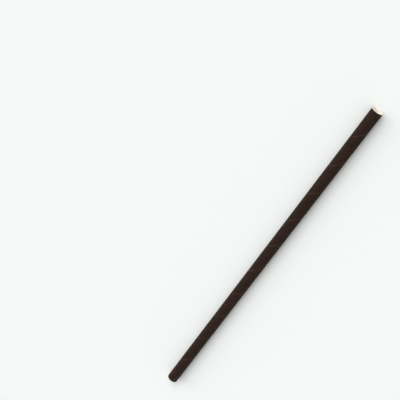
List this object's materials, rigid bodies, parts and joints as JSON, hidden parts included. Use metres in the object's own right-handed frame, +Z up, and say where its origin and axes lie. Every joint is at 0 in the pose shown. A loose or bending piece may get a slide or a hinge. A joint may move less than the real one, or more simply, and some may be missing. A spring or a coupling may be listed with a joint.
{
  "type": "paper drinking straw",
  "caption": "Straight drinking straw of spirally wound paper, dark brown outside and cream inside, with both ends cut square and open.",
  "frame": {"origin": "on the surface that the straw lies on, under the middle of its length", "axes": "+X along the axis of the straw towards the end that the picture shows, +Z up from the surface it lies on"},
  "size_m": [0.197, 0.006, 0.006],
  "materials": {
    "dark_paper": "matte",
    "plain_paper": "matte",
    "bore_paper": "matte"
  },
  "bodies": {
    "root": {"cover_ply": "dark_paper", "middle_ply": "plain_paper", "liner_ply": "bore_paper"}
  },
  "joints": []
}
